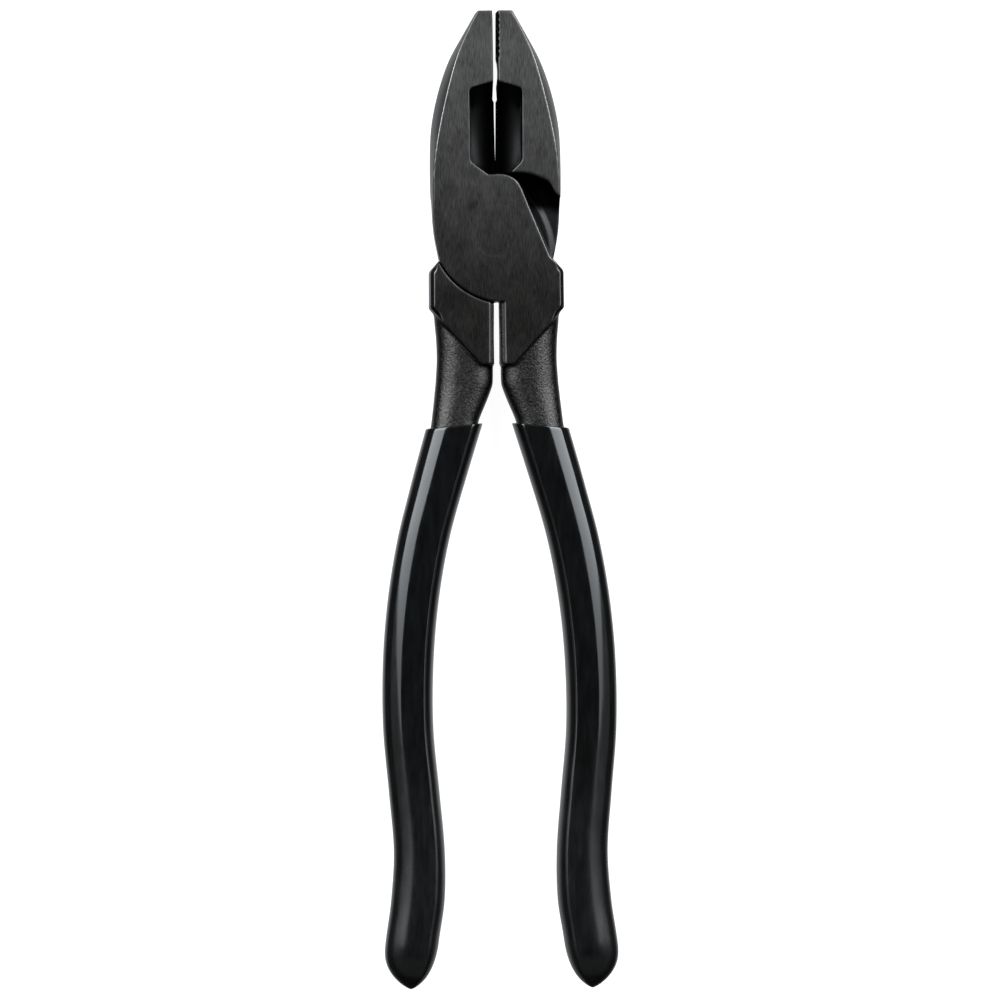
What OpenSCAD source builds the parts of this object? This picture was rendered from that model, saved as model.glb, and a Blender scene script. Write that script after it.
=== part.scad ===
// Lineman pliers: two equal forgings that lap at a flush rivet, each with a dipped grip on its tang.
// They lie on their back face. The rivet's axis is Z, the jaws point along +Y and X is the width.

/* [Head] */
// Thickness of the head, ground flat on both faces
head_t = 15.9; // [15:0.1:17]
// Distance from the rivet to the jaw tips
jaw_tip_y = 53.6; // [53.4:0.1:54]
// Half width of the jaws where they are widest
jaw_half_w = 15.85; // [15.7:0.05:16]
// Width of the flat tip on each jaw
tip_w = 3.6; // [3:0.1:4]
// Clearance between the two lap plates
lap_gap = 0.1; // [0.06:0.02:0.2]

/* [Gripping faces and knives] */
// Distance of each gripping face from its forging's middle line
jaw_gap = 0.3; // [0.2:0.02:0.4]
// Distance between neighbouring teeth
tooth_pitch = 1.55; // [1.4:0.05:1.6]
// Depth of the teeth
tooth_depth = 0.35; // [0.1:0.05:0.4]
// Number of teeth on each jaw
tooth_count = 7; // [5:1:7]
// Depth of the shallow notch below the teeth
notch_depth = 0.45; // [0.3:0.05:0.6]
// Distance from the rivet to the outer end of the knives
knife_end_y = 31.5; // [30:0.5:33]
// Half width of the window around the knives
window_half_w = 6.2; // [5.8:0.1:6.6]
// Depth of the window's upright walls
window_depth = 4.5; // [3:0.25:5.5]

/* [Joint] */
// Radius of the round lower edge of the lap plates
lobe_r = 18.5; // [18.3:0.05:18.6]
// Clearance between that edge and the cheek beside it
cheek_gap = 0.3; // [0.3:0.05:0.5]
// Radius of the rivet's shank
rivet_r = 5; // [4:0.25:6]
// Height of the rivet's countersunk heads
rivet_head_h = 1.5; // [1:0.25:2]
// Radial clearance of the rivet in the forging that turns on it
rivet_clearance = 0.05; // [0.02:0.01:0.1]
// Angle between the middle lines of the two forgings at rest
rest_angle = 0.75; // [0.3:0.05:1]

/* [Cheeks and tangs] */
// Half width of the head across the cheeks
cheek_half_w = 16.25; // [16.1:0.05:16.6]
// Distance from the rivet to the lower edge of the cheeks
cheek_end = 33; // [31:0.5:34]
// Distance of each cheek from the middle
handle_gap = 0.65; // [0.5:0.05:0.7]
// Thickness of the bare tang below the cheeks
tang_t = 12.6; // [11.6:0.1:13]

/* [Grips] */
// Distance from the rivet to the top of the grips
grip_start = 48; // [47:0.5:50]
// Distance from the rivet to the ends of the grips
grip_end = 186.25; // [184.5:0.25:188]
// Thickness of the grips
grip_t = 14; // [13.4:0.1:15]
// Wall thickness of the grips
grip_wall = 1.2; // [0.8:0.1:1.3]

/* [Hidden] */
mid_z = head_t / 2;
// The lap plates' round edge and the knives' lower end
lobe_centre = [2.55, 0.55];
lobe_top_y = 13.5;
knife_start_y = 13.9;
// Knife edges: near the rivet they reach over the middle line, so they meet there first
knife_start_x = 0.08;
knife_end_x = -0.1;
knife_lead = 0.1;
// Jaw sides: the face's edge is an arc, and the side swells from it to the middle
side_centre = [148, -7.2];
side_r = 164.85;
side_swell = 2.75;
// Outer side of a jaw, from its tip to the lap plate
jaw_side = [[-7.6, 47.4], [-10.95, 41.5], [-13.75, 34.2], [-15.45, 26.5], [-jaw_half_w, 19],
    [0.05 - jaw_half_w, 10], [-15.4, 0], [-14.1, -7.5]];
// Shoulder of a jaw, from the window to its outer side
shoulder = [[-3.3, 13.8], [-5.9, 13.75], [-8.1, 13.5], [-10.9, 12.5], [-12.9, 11.3], [-14.2, 9],
    [-15.65, 7.5]];
// Small edge breaks, width and height
cheek_chamfer = [0.9, 1.5];
gap_chamfer = 0.8;
// Bare tang: distance from the rivet, inner edge, outer edge
bare_tang = [[18.6, 0.75, 15.2], [22, 0.75, 15.1], [27, 0.75, 14.65], [32, 0.75, 14.5], [37.6, 0.75, 14.8],
    [39.2, 1.2, 14.95], [41.6, 2.15, 15.2], [45.5, 3.8, 15.65]];
// Grip: distance from the rivet, middle, half width
grip_line = [[46, 9.65, 7.05], [62, 14.25, 6.55], [76, 17.9, 6.36], [91, 20.4, 6.27], [106, 21.62, 6.22],
    [122, 21.63, 6.17], [138, 20.17, 6.2], [152, 18.98, 6.24], [164, 19.33, 6.55], [174, 20.7, 6.52],
    [180, 21.3, 6.52], [187, 21, 6.52]];
grip_step = 6;
grip_tip_l = 12;
grip_top_tilt = 0.1;
tang_end_gap = 3;
// Points around a section of a grip or tang
ring_n = 24;

// Points on an arc of radius r about c, from angle a0 to a1
function arc(c, r, a0, a1, n) = [for (i = [0:n]) let(a = a0 + (a1 - a0) * i / n) c + r * [cos(a), sin(a)]];

// Slope of a table of rows at row i, per unit of its first column
function slope(rows, i) = let(a = rows[max(i - 1, 0)], b = rows[min(i + 1, len(rows) - 1)])
    (b - a) / (b[0] - a[0]);

// The row at s of a table with rising first column, on a smooth curve through its rows
function row_at(rows, s) = let(
    i = max([for (k = [0:len(rows) - 2]) if (s >= rows[k][0] || k == 0) k]),
    w = rows[i + 1][0] - rows[i][0],
    t = (s - rows[i][0]) / w)
    (2 * pow(t, 3) - 3 * pow(t, 2) + 1) * rows[i] + (pow(t, 3) - 2 * pow(t, 2) + t) * w * slope(rows, i)
    + (3 * pow(t, 2) - 2 * pow(t, 3)) * rows[i + 1] + (pow(t, 3) - pow(t, 2)) * w * slope(rows, i + 1);

// A smooth curve through points, with n steps between neighbours
function through(pts, n) = [for (i = [0:len(pts) - 2]) for (j = [0:n - 1]) let(
    t = j / n,
    a = (pts[i + 1] - pts[max(i - 1, 0)]) / 2,
    b = (pts[min(i + 2, len(pts) - 1)] - pts[i]) / 2)
    (2 * pow(t, 3) - 3 * pow(t, 2) + 1) * pts[i] + (pow(t, 3) - 2 * pow(t, 2) + t) * a
    + (3 * pow(t, 2) - 2 * pow(t, 3)) * pts[i + 1] + (pow(t, 3) - pow(t, 2)) * b, pts[len(pts) - 1]];

// Corner p between a and b, rounded to radius r in n steps
function rounded(a, p, b, r, n) = let(
    u = (a - p) / norm(a - p),
    v = (b - p) / norm(b - p),
    half = acos(u * v) / 2,
    c = p + (u + v) / norm(u + v) * r / sin(half),
    from = p + u * r / tan(half) - c,
    to = p + v * r / tan(half) - c,
    a0 = atan2(from[1], from[0]),
    turn = atan2(to[1], to[0]) - a0,
    sweep = turn > 180 ? turn - 360 : turn < -180 ? turn + 360 : turn)
    arc(c, r, a0, a0 + sweep, n);

// Inner side of a jaw from its tip to the knife's outer end: tip corner, teeth, notch and relief
tooth_top_y = jaw_tip_y - 0.8;
notch_top_y = tooth_top_y - tooth_count * tooth_pitch;
notch_l = 7;
notch_r = (pow(notch_l / 2, 2) + pow(notch_depth, 2)) / (2 * notch_depth);
notch_half_a = asin(notch_l / 2 / notch_r);
jaw_inner = concat(
    [[-jaw_gap - 0.1, jaw_tip_y]],
    [for (i = [0:tooth_count - 1]) each [
        [-jaw_gap, tooth_top_y - i * tooth_pitch],
        [-jaw_gap - tooth_depth, tooth_top_y - (i + 0.5) * tooth_pitch]]],
    arc([-jaw_gap - notch_depth + notch_r, notch_top_y - notch_l / 2], notch_r,
        180 - notch_half_a, 180 + notch_half_a, 6),
    [[-jaw_gap - 0.15, notch_top_y - notch_l], [-jaw_gap - 0.15, knife_end_y],
        [knife_end_x, knife_end_y]]);
jaw_outer = concat([[-jaw_gap - tip_w, jaw_tip_y]], through(jaw_side, 3));
jaw_outer_above = [for (p = jaw_outer) if (p[1] > 7.6) p];

// Corners of the lap plate's S-shaped edge and of the cheek
knife_root = [knife_start_x, lobe_top_y];
lobe_corner = [5.1, lobe_top_y];
waist_corner = [13.35, -7];
cheek_top = [cheek_half_w, -10.3];
cheek_low = [cheek_half_w, -19.3];
cheek_foot = [3.6, -cheek_end];
cheek_inner = [handle_gap, -cheek_end];
cheek_corners = concat(
    rounded([14.4, -7.9], cheek_top, cheek_low, 1.6, 4),
    rounded(cheek_top, cheek_low, cheek_foot, 1, 3),
    rounded(cheek_low, cheek_foot, cheek_inner, 1.2, 3),
    [cheek_inner]);

// Front layer of a forging: jaw, lap plate and cheek in one face
front_outline = concat(
    jaw_inner,
    [knife_root],
    rounded(knife_root, lobe_corner, waist_corner, 6.2, 8),
    rounded(lobe_corner, waist_corner, cheek_top, 1.8, 3),
    cheek_corners,
    arc(lobe_centre, lobe_r, 263.7, 206, 20),
    [for (i = [len(jaw_outer) - 2:-1:0]) jaw_outer[i]]);

// Back layer of a forging: the jaw above its shoulder, and the cheek beside the other forging's lap plate
back_jaw_outline = concat(
    jaw_inner,
    [[knife_start_x, knife_start_y]],
    through(shoulder, 2),
    [for (i = [len(jaw_outer_above) - 1:-1:0]) jaw_outer_above[i]]);
back_cheek_outline = concat(
    arc([-lobe_centre[0], lobe_centre[1]], lobe_r + cheek_gap, 280.4, 333.4, 20),
    cheek_corners);

// Windows around the knife: the front one ends at the lap plate, the back one at the shoulder
front_window = concat(
    [[1, lobe_top_y], [-2, lobe_top_y]],
    rounded([-2, lobe_top_y], [-window_half_w, 16.7], [-window_half_w, 34.5], 0.8, 3),
    rounded([-window_half_w, 16.7], [-window_half_w, 34.5], [1, 36.6], 0.8, 3),
    [[1, 36.6]]);
back_window = concat(
    [[1, 12.5], [-2, 12.5], [-3.3, 13.8]],
    rounded([-3.3, 13.8], [-window_half_w, 16.7], [-window_half_w, 34.5], 0.8, 3),
    rounded([-window_half_w, 16.7], [-window_half_w, 34.5], [1, 36.6], 0.8, 3),
    [[1, 36.6]]);

// Width of a grip's end as a share of its full width, at distance d from its tip
function tip_share(d) = d >= grip_tip_l ? 1 : pow(1 - pow(1 - d / grip_tip_l, 2.6), 0.77);

// Rounded section across the handle at distance s from the rivet, fuller on its inner side
function section(s, middle, half_w, half_t, tilt) = [for (i = [0:ring_n - 1]) let(
    a = 360 * i / ring_n,
    p = cos(a) > 0 ? 0.85 : 0.65,
    x = half_w * sign(cos(a)) * pow(abs(cos(a)), p),
    z = half_t * sign(sin(a)) * pow(abs(sin(a)), 0.75))
    [middle + x, -s - tilt * x, mid_z + z]];

// Sections of a grip's outside, or of the tang inside it when wall is the grip's wall
function grip_ring(s, wall) = let(
    row = row_at(grip_line, s),
    share = tip_share(grip_end - wall - s))
    section(s, row[1], (row[2] - wall) * share, (grip_t / 2 - wall) * share,
        grip_top_tilt * max(0, 1 - (s - grip_start) / 12));

// Distances of the sections from the rivet, from the top of the grip to near its tip
function grip_stops(from, to) = concat(
    [for (s = [from:grip_step:to - grip_tip_l]) s],
    [for (d = [grip_tip_l, 9, 6.5, 4.5, 3, 1.8, 0.9, 0.3]) to - d]);
grip_outside = [for (s = grip_stops(grip_start, grip_end)) grip_ring(s, 0)];
tang_stops = grip_stops(grip_start, grip_end - tang_end_gap);
tang_in_grip = [for (s = tang_stops) let(narrowing = max(0, s - grip_end + tang_end_gap + grip_tip_l) / 6)
    grip_ring(s, grip_wall + narrowing)];
tang_rings = concat(
    [for (row = bare_tang) section(row[0], (row[1] + row[2]) / 2, (row[2] - row[1]) / 2,
        tang_t / 2 - (row[0] - 18.6) / 40, 0)],
    tang_in_grip);

// Faces of the side walls between neighbouring rings, from ring first to ring last
function walls(first, last) = [for (k = [first:last - 1]) for (i = [0:ring_n - 1]) let(j = (i + 1) % ring_n)
    [k * ring_n + j, k * ring_n + i, (k + 1) * ring_n + i, (k + 1) * ring_n + j]];

// Tang of a forging as one closed loft
module tang() {
    last = len(tang_rings) - 1;
    polyhedron(
        points = [for (ring = tang_rings) each ring],
        faces = concat(
            [[for (i = [0:ring_n - 1]) i]],
            walls(0, last),
            [[for (i = [ring_n - 1:-1:0]) last * ring_n + i]]));
}

// Sleeve with a closed end, from its outside and from the tang's sections inside it
module sleeve() {
    outside_n = len(grip_outside);
    rings = concat(grip_outside, [for (k = [len(tang_in_grip) - 1:-1:0]) tang_in_grip[k]]);
    last = len(rings) - 1;
    lip = [for (i = [0:ring_n - 1]) let(j = (i + 1) % ring_n)
        [last * ring_n + j, last * ring_n + i, i, j]];
    polyhedron(
        points = [for (ring = rings) each ring],
        faces = concat(
            walls(0, outside_n - 1),
            [[for (i = [ring_n - 1:-1:0]) (outside_n - 1) * ring_n + i]],
            [[for (i = [0:ring_n - 1]) outside_n * ring_n + i]],
            walls(outside_n, last),
            lip));
}

// A layer of the head from z0 to z1, with its jaw side swelling towards the middle and its cheek edges broken
module layer(z0, z1, outline) {
    c = cheek_chamfer;
    intersection() {
        translate([0, 0, z0]) linear_extrude(z1 - z0) polygon(outline);
        translate(side_centre) rotate_extrude($fn = 96) polygon([
            [0, 0], [side_r, 0], [side_r + side_swell, mid_z], [side_r, head_t], [0, head_t]]);
        rotate([90, 0, 0]) translate([0, 0, -60]) linear_extrude(120) polygon([
            [-20, 0], [cheek_half_w - c[0], 0], [cheek_half_w, c[1]], [cheek_half_w, head_t - c[1]],
            [cheek_half_w - c[0], head_t], [-20, head_t]]);
    }
}

// Hollow on one side of the knife: upright walls, then a slope to the edge in the middle of the thickness
module knife_hollow(outline) {
    intersection() {
        translate([0, 0, mid_z - 1]) linear_extrude(head_t) polygon(outline);
        rotate([90, 0, 0]) translate([0, 0, -60]) linear_extrude(60) polygon([
            [2, mid_z], [knife_lead, mid_z], [-7, head_t - window_depth + 0.4], [-7, head_t + 2],
            [2, head_t + 2]]);
    }
}

// Long prism that breaks the inner edge of a cheek, on the front face
module gap_edge_break() {
    translate([handle_gap, -cheek_end - 1, head_t]) rotate([0, 45, 0])
        translate([-gap_chamfer, 0, -gap_chamfer]) cube([2 * gap_chamfer, cheek_end - 17.5, 2 * gap_chamfer]);
}

// Hole for the rivet, with the countersink for its front head
module rivet_hole(extra) {
    r = rivet_r + extra;
    rotate_extrude($fn = 64) polygon([
        [0, -1], [r, -1], [r, head_t - rivet_head_h], [r + rivet_head_h, head_t],
        [r + rivet_head_h, head_t + 1], [0, head_t + 1]]);
}

// One forging, upright on its middle line: left jaw, lap plate in front, right cheek and tang
module forging(hole_extra) {
    front_z = mid_z + lap_gap / 2;
    difference() {
        union() {
            layer(front_z, head_t, front_outline);
            layer(0, front_z, back_jaw_outline);
            layer(0, front_z, back_cheek_outline);
            tang();
        }
        knife_hollow(front_window);
        translate([0, 0, head_t]) mirror([0, 0, 1]) knife_hollow(back_window);
        gap_edge_break();
        translate([0, 0, head_t]) mirror([0, 0, 1]) gap_edge_break();
        rivet_hole(hole_extra);
    }
}

// Turns the left jaw's half over, which makes the right jaw's half
module turned_over() {
    translate([0, 0, head_t]) rotate([0, 180, 0]) children();
}

// Left jaw, front lap plate, right cheek and right tang
module left_jaw_forging() {
    color("dimgray") rotate([0, 0, rest_angle / 2]) forging(rivet_clearance);
}

// Right jaw, back lap plate, left cheek and left tang
module right_jaw_forging() {
    color("dimgray") rotate([0, 0, -rest_angle / 2]) turned_over() forging(0);
}

// Hot rivet with both heads ground flush
module pivot_rivet() {
    r = rivet_r;
    h = rivet_head_h;
    color("gray") rotate_extrude($fn = 64) polygon([
        [0, 0], [r + h, 0], [r, h], [r, head_t - h], [r + h, head_t], [0, head_t]]);
}

// Dipped grip on the left tang
module left_grip() {
    color("black") rotate([0, 0, -rest_angle / 2]) turned_over() sleeve();
}

// Dipped grip on the right tang
module right_grip() {
    color("black") rotate([0, 0, rest_angle / 2]) sleeve();
}

left_jaw_forging();
right_jaw_forging();
pivot_rivet();
left_grip();
right_grip();
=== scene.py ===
"""Looks of the lineman pliers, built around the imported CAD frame.

Each forging is a distance field in millimetres, drawn upright beside the line between the jaws and meshed
on a fine grid. It is then turned about the rivet by half the angle that the tool is open at rest.
The two forgings are one shape: the second is the first turned over, as on the real tool.
"""

import math

import bpy
import numpy as np
from mathutils import Matrix, Vector


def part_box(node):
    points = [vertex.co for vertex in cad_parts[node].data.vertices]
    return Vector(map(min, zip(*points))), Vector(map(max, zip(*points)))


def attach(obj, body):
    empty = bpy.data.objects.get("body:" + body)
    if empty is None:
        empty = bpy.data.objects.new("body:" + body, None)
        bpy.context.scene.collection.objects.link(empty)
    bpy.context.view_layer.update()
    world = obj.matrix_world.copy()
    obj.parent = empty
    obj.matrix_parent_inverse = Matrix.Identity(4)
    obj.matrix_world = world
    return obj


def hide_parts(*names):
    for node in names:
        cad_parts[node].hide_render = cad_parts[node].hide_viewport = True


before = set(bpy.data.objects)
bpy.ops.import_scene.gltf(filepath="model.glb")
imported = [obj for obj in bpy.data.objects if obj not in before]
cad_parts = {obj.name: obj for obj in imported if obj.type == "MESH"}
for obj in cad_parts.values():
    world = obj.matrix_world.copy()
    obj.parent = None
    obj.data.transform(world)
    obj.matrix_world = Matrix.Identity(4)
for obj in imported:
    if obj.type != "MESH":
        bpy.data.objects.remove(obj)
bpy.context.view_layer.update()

MM = 0.001

# Driving sizes in millimetres, taken from the frame. The forgings are turned there to the pose at rest, which
# lifts the jaw's tip and the grip's end a little.
TIP_LIFT = 0.03
GRIP_LIFT = 0.15
HEAD_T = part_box("left_jaw_forging")[1].z / MM
MID_Z = HEAD_T / 2
JAW_TIP_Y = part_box("left_jaw_forging")[1].y / MM - TIP_LIFT
GRIP_END = -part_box("right_grip")[0].y / MM + GRIP_LIFT
GRIP_T = (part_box("right_grip")[1].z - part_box("right_grip")[0].z) / MM
REST_ANGLE = math.radians(0.75)

# Grid that the forgings are meshed on, and the part of the forging that it holds
STEP = 0.285
GRID_LOW = (-17.5, -50.0, -1.28)
GRID_HIGH = (18.0, 55.0, 17.4)

# Head
TIP_W = 3.6
LAP_GAP = 0.1
BACK_REACH = 1
LOBE_CENTRE = (2.55, 0.55)
LOBE_R = 18.5
CHEEK_GAP = 0.3
SIDE_CENTRE = (148.0, -7.2)
SIDE_R = 164.85
SIDE_SWELL = 2.75
CHEEK_HALF_W = 16.25
CHEEK_END = 33.0
HANDLE_GAP = 0.65

# Gripping faces, knives and windows. A fade is the stretch over which something begins or ends, and a scale
# turns a depth along an axis into about the distance from a slanting face.
JAW_GAP = 0.3
RELIEF_TOP_Y = 38
RELIEF_LOW_Y = 33
RELIEF_DEPTH = 0.07
TOOTH_START = 0.8
TOOTH_PITCH = 1.55
TOOTH_DEPTH = 0.35
TOOTH_COUNT = 7
TOOTH_LAND = 1.6
TOOTH_FADE = 0.4
TOOTH_SCALE = 0.93
NOTCH_DEPTH = 0.45
NOTCH_L = 7.0
NOTCH_TOP = JAW_TIP_Y - TOOTH_START - TOOTH_COUNT * TOOTH_PITCH
NOTCH_FADE = (4, -2)
KNIFE_END_Y = 31.5
KNIFE_END_X = -0.02
KNIFE_START_X = 0.14
KNIFE_LEAD = 0.6
KNIFE_SLOPE = 0.36
KNIFE_CURVE = 0.033
KNIFE_MIDDLE_Y = 23.2
KNIFE_HOLLOW = 0.005
KNIFE_FILLET = 1.2
WINDOW_HALF_W = 6.2
WINDOW_DEPTH = 4.5
WINDOW_RISE = 1.45
WINDOW_RISE_BLEND = 1.5
FLOOR_RISE = 0.8
WINDOW_EDGE_R = 0.3

# Edges: rounding, chamfers and fillets, and the stretches over which the chamfers begin and end
EDGE_R = 0.12
SIDE_ROUND = 1.5
SHOULDER_R = 0.5
CHAMFER_LEAN = 0.6
SIDE_CHAMFER = 0.08
LAP_CHAMFER = 0.5
LAP_CHAMFER_SIDE = (1, 8)
LAP_CHAMFER_LOW = (-9, -6)
LAP_CHAMFER_TOP = (14, 10)
CHEEK_CHAMFER = 0.95
CHEEK_CHAMFER_TOP = (-4.5, -8)
CHEEK_CHAMFER_SIDE = (10, 12.5)
CHEEK_CHAMFER_LOW = (-23, -20)
CHEEK_CHAMFER_ARC = (LOBE_R + 0.4, LOBE_R + 2)
GAP_CHAMFER = 0.8
GAP_CHAMFER_Y = -17.6
COVE_R = 4.0
COVE_START_X = 3
COVE_GROWTH = 0.4
TANG_FILLET = 0.7

# Shallow step along the outer side of the lap face
LAP_STEP = 0.6
LAP_STEP_X = 13.5
LAP_STEP_Y = -6.0
LAP_STEP_CURVE = 0.025
LAP_STEP_FADE = (-0.3, 1.3)
LAP_STEP_REACH = 16
LAP_SCALE = 0.92

# Rivet: its seat is cut a little tight, so that the flush head covers the seat's edge
RIVET_R = 5.0
RIVET_HEAD_H = 1.5
RIVET_SEAT = 0.15
RIVET_PROUD = 0.01

# Tang: distance from the rivet, inner edge, outer edge, half thickness
BARE_TANG = [
    (18.6, 0.75, 15.2, 6.3), (22, 0.75, 15.1, 6.2), (27, 0.75, 14.65, 6.1), (32, 0.75, 14.5, 6.0),
    (36.7, 0.75, 14.75, 5.9), (38.1, 0.9, 14.85, 5.85), (39.5, 1.35, 15.0, 5.82), (41.6, 2.15, 15.2, 5.8),
    (46.5, 4.15, 15.75, 5.8), (48.3, 4.55, 16.0, 5.8), (50.5, 5.1, 16.6, 5.8),
]
TANG_NET_END = 48.5

# Fullness of a rounded section: outer side, inner side and thickness
SECTION_OUTER = 0.85
SECTION_INNER = 0.65
SECTION_Z = 0.75
SECTION_ROOT = 0.4

# Grip. Its line has the distance from the rivet, the middle and the half width.
GRIP_START = 48.0
GRIP_WALL = 1.2
WALL_GROWTH = 1 / 6
GRIP_TIP_L = 12.0
TIP_FULLNESS = 2.6
TIP_BLUNTNESS = 0.77
GRIP_STEP = 1.5
GRIP_RING_N = 128
LIP_R = 0.35
RIDGE_U = 0.35
RIDGE_HEIGHT = 1.12
RIDGE_SOFTNESS = 0.06
CROWN = 0.05
GRIP_TOP_TILT = 0.1
TILT_L = 12
TANG_END_GAP = 3.0
TANG_CLEARANCE = 0.02
TANG_RING_N = 48
HOLLOW_END = GRIP_END - TANG_END_GAP
END_STOPS = (12, 9, 6.5, 4.5, 3, 1.8, 0.9, 0.3)
GRIP_LINE = [
    (46, 9.65, 7.05), (62, 14.25, 6.55), (76, 17.9, 6.36), (91, 20.4, 6.27),
    (106, 21.62, 6.22), (122, 21.63, 6.17), (138, 20.17, 6.2), (152, 18.98, 6.24),
    (164, 19.33, 6.55), (174, 20.7, 6.52), (180, 21.3, 6.52), (187, 21.0, 6.52),
]

# How bright the edges are painted, partly as real wear and partly as painted highlight on the edges, and the
# share of it that the chamfers' feet show
JAW_SIDE_WEAR_GLINT = 0.8
LAP_EDGE_WEAR_GLINT = 0.45
CHEEK_EDGE_WEAR_GLINT = 0.8
STEP_EDGE_WEAR_GLINT = 0.9
GAP_EDGE_WEAR_GLINT = 0.35
FOOT_LAP_SHARE = 0.6
FOOT_CHEEK_SHARE = 0.5

# Painted shade in corners: how far out the free space is felt, and how strongly
SHADE_REACH = 1.2
SHADE_GAIN = 1.6

# Value of a cut's field, in millimetres, at places that the cut doesn't reach
WELL_INSIDE = -9


# ---------- curves ----------

def arc(centre, r, start, end, n):
    """Points on an arc, with its angles in degrees."""
    angles = np.radians(np.linspace(start, end, n + 1))
    return [(centre[0] + r * math.cos(a), centre[1] + r * math.sin(a)) for a in angles]


def hermite(p, q, m, n, t):
    """A point between p and q, with slopes m and n there."""
    return ((2 * t**3 - 3 * t**2 + 1) * p + (t**3 - 2 * t**2 + t) * m
            + (3 * t**2 - 2 * t**3) * q + (t**3 - t**2) * n)


def through(points, n):
    """A smooth curve through points, with n steps between neighbours."""
    p = np.array(points, float)
    out = []
    for i in range(len(p) - 1):
        before = (p[i + 1] - p[max(i - 1, 0)]) / 2
        after = (p[min(i + 2, len(p) - 1)] - p[i]) / 2
        out += [tuple(hermite(p[i], p[i + 1], before, after, j / n)) for j in range(n)]
    return out + [tuple(p[-1])]


def row_at(rows, s):
    """The row of a table at s, on a smooth curve through its rows. The first column rises."""
    rows = np.array(rows, float)
    i = int(np.clip(np.searchsorted(rows[:, 0], s, side="right") - 1, 0, len(rows) - 2))
    w = rows[i + 1][0] - rows[i][0]

    def slope(k):
        a, b = rows[max(k - 1, 0)], rows[min(k + 1, len(rows) - 1)]
        return (b - a) / (b[0] - a[0])

    return hermite(rows[i], rows[i + 1], w * slope(i), w * slope(i + 1), (s - rows[i][0]) / w)


def rounded(a, p, b, r, n):
    """Corner p between a and b, rounded to radius r in n steps."""
    a, p, b = (np.array(v, float) for v in (a, p, b))
    u = (a - p) / np.linalg.norm(a - p)
    v = (b - p) / np.linalg.norm(b - p)
    half = math.acos(float(u @ v)) / 2
    c = p + (u + v) / np.linalg.norm(u + v) * r / math.sin(half)
    start = p + u * r / math.tan(half) - c
    end = p + v * r / math.tan(half) - c
    a0 = math.degrees(math.atan2(start[1], start[0]))
    turn = (math.degrees(math.atan2(end[1], end[0])) - a0 + 180) % 360 - 180
    return arc(c, r, a0, a0 + turn, n)


# ---------- outlines of the head, drawn upright beside the line between the jaws ----------

def jaw_inner():
    """Inner side of a jaw from its tip to the knife's outer end: gripping face and relief."""
    relief = -JAW_GAP - RELIEF_DEPTH
    return [(-JAW_GAP, JAW_TIP_Y), (-JAW_GAP, RELIEF_TOP_Y), (relief, RELIEF_LOW_Y), (relief, KNIFE_END_Y),
            (KNIFE_END_X, KNIFE_END_Y)]


JAW_SIDE = [(-7.6, 47.4), (-10.95, 41.5), (-13.75, 34.2), (-15.45, 26.5), (-15.85, 19), (-15.8, 10),
            (-15.4, 0), (-14.1, -7.5)]
SHOULDER_FOOT_Y = 7.6
SHOULDER_TOP = (KNIFE_START_X, 13.9)
SHOULDER = [(-3.3, 13.8), (-5.9, 13.75), (-8.1, 13.5), (-10.9, 12.5), (-12.9, 11.3), (-14.2, 9),
            (-15.65, 7.5)]
JAW_OUTER = [(-JAW_GAP - TIP_W, JAW_TIP_Y)] + through(JAW_SIDE, 4)
LOBE_TOP_Y = 13.5
LOBE_TOP = (KNIFE_START_X, LOBE_TOP_Y)
LOBE_CORNER = (5.1, LOBE_TOP_Y)
WAIST_CORNER = (13.35, -7)
CHEEK_SHOULDER = (14.4, -7.9)
CHEEK_TOP = (CHEEK_HALF_W, -10.3)
CHEEK_LOW = (CHEEK_HALF_W, -19.3)
CHEEK_FOOT = (3.6, -CHEEK_END)
CHEEK_INNER = (HANDLE_GAP, -CHEEK_END)
CHEEK_CORNERS = (rounded(CHEEK_SHOULDER, CHEEK_TOP, CHEEK_LOW, r=1.6, n=6)
                 + rounded(CHEEK_TOP, CHEEK_LOW, CHEEK_FOOT, r=1, n=4)
                 + rounded(CHEEK_LOW, CHEEK_FOOT, CHEEK_INNER, r=1.2, n=4) + [CHEEK_INNER])
FRONT = (jaw_inner() + [LOBE_TOP] + rounded(LOBE_TOP, LOBE_CORNER, WAIST_CORNER, r=6.2, n=12)
         + rounded(LOBE_CORNER, WAIST_CORNER, CHEEK_TOP, r=1.8, n=4) + CHEEK_CORNERS
         + arc(LOBE_CENTRE, LOBE_R, start=263.7, end=206, n=28) + JAW_OUTER[-2::-1])
BACK_JAW = (jaw_inner() + [SHOULDER_TOP] + through(SHOULDER, 4)
            + [p for p in JAW_OUTER[::-1] if p[1] > SHOULDER_FOOT_Y])
BACK_CENTRE = (-LOBE_CENTRE[0], LOBE_CENTRE[1])
BACK_CHEEK = arc(BACK_CENTRE, LOBE_R + CHEEK_GAP, start=280.4, end=333.4, n=24) + CHEEK_CORNERS
WINDOW_LOW = (-WINDOW_HALF_W, 16.7)
WINDOW_HIGH = (-WINDOW_HALF_W, 34.5)
WINDOW_PEAK = (1, 36.6)
WINDOW_TOP = (rounded((-2, 13), WINDOW_LOW, WINDOW_HIGH, r=1.4, n=4)
              + rounded(WINDOW_LOW, WINDOW_HIGH, WINDOW_PEAK, r=1.2, n=4) + [WINDOW_PEAK])
FRONT_WINDOW = [(1, LOBE_TOP_Y), (-2, LOBE_TOP_Y)] + WINDOW_TOP
BACK_WINDOW = [(1, 12.5), (-2, 12.5), SHOULDER[0]] + WINDOW_TOP


# ---------- distance fields: negative inside, in millimetres ----------

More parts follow.
